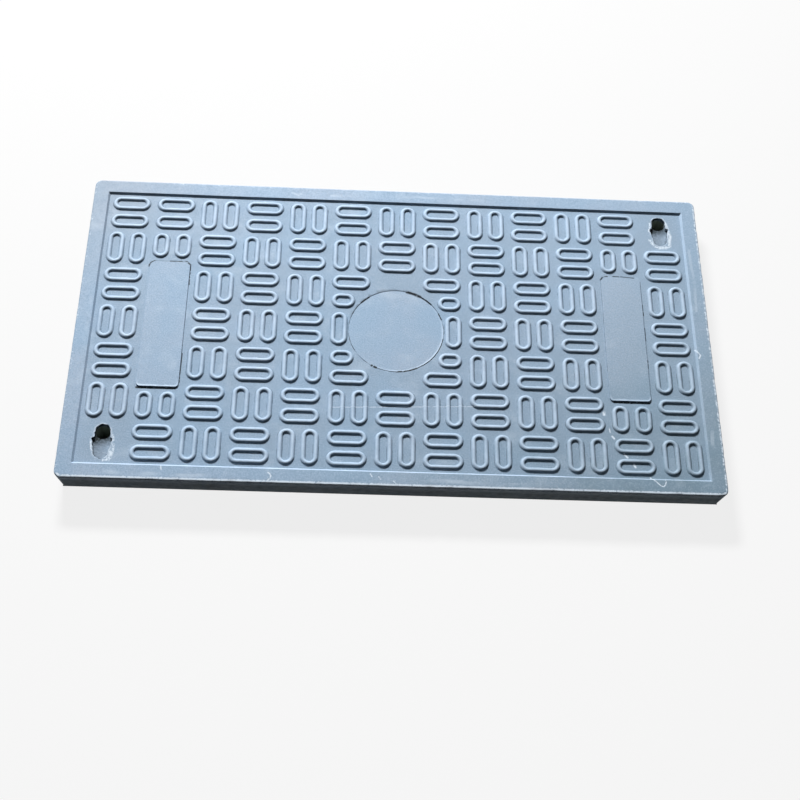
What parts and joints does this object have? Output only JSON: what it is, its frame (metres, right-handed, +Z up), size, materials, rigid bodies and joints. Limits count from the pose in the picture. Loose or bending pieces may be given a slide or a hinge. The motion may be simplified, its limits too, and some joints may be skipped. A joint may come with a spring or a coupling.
{
  "type": "cable pit cover",
  "caption": "Rectangular moulded resin cover plate for a cable pit, with a tread of raised oval rings in crossed pairs, plain disc and pads, keyhole lifting holes and a ribbed underside.",
  "frame": {"origin": "centre of the underside, on the plane that the plate rests on", "axes": "+X along the plate, +Y to the back, towards the round ends of the keyhole lifting holes, +Z up out of the tread"},
  "size_m": [1.0994, 0.5994, 0.05],
  "materials": {
    "moulded_resin": "satin moulded grey resin, scuffed pale along the front edge"
  },
  "bodies": {
    "root": {"cover_plate": "moulded_resin"}
  },
  "joints": []
}
